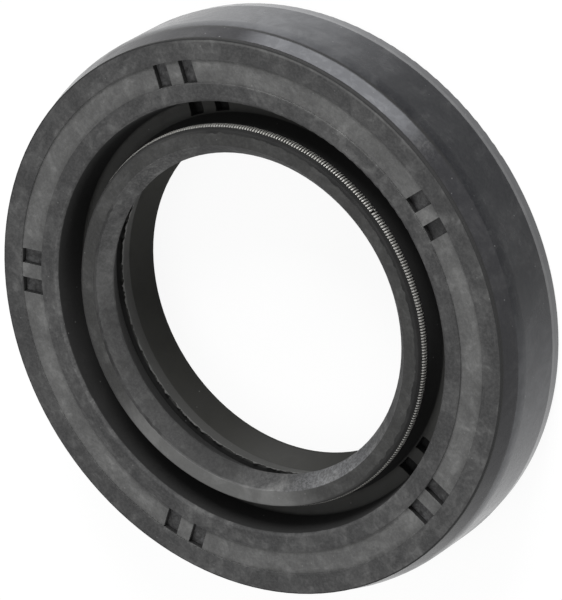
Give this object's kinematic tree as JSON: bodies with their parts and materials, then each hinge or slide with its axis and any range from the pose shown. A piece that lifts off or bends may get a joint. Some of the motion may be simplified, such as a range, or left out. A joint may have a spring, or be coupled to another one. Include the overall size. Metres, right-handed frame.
{
  "type": "radial shaft seal",
  "caption": "Rubber-covered radial shaft seal with a garter spring, moulded steel case, sealing lip, auxiliary lips and pocketed spring-side face.",
  "frame": {"origin": "centre of the air side face, on the seal's axis", "axes": "+Z along the seal's axis towards the spring side, -Y through the middle of one pair of pockets"},
  "size_m": [0.068, 0.068, 0.012],
  "materials": {
    "nitrile_rubber": "matt moulded black nitrile rubber, satin on the outside cylinder",
    "case_steel": "dark phosphated pressed steel",
    "spring_steel": "bright drawn spring wire"
  },
  "bodies": {
    "root": {"rubber_body": "nitrile_rubber", "steel_case": "case_steel", "garter_spring": "spring_steel"}
  },
  "joints": []
}
